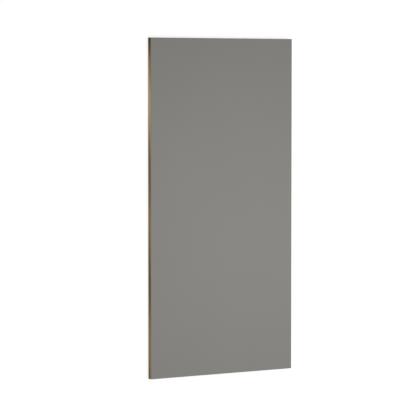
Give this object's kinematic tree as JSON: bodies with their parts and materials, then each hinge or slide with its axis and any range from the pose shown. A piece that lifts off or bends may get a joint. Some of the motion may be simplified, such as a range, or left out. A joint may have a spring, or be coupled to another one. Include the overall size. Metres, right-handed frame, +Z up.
{
  "type": "laminate-faced board",
  "caption": "Full sheet of thick wooden board with a plain matt grey decorative laminate bonded to its face, for doors, worktops, shelving and furniture panels.",
  "frame": {"origin": "on the surface that the board lies on, under the middle of its outline", "axes": "+X across the width, +Y along the length, +Z up through the decorative face"},
  "size_m": [1.2192, 2.4384, 0.038],
  "materials": {
    "core_wood": "bare sawn wood with long grain",
    "face_laminate": "matt warm grey high pressure laminate"
  },
  "bodies": {
    "root": {"core_board": "core_wood", "face_laminate": "face_laminate"}
  },
  "joints": []
}
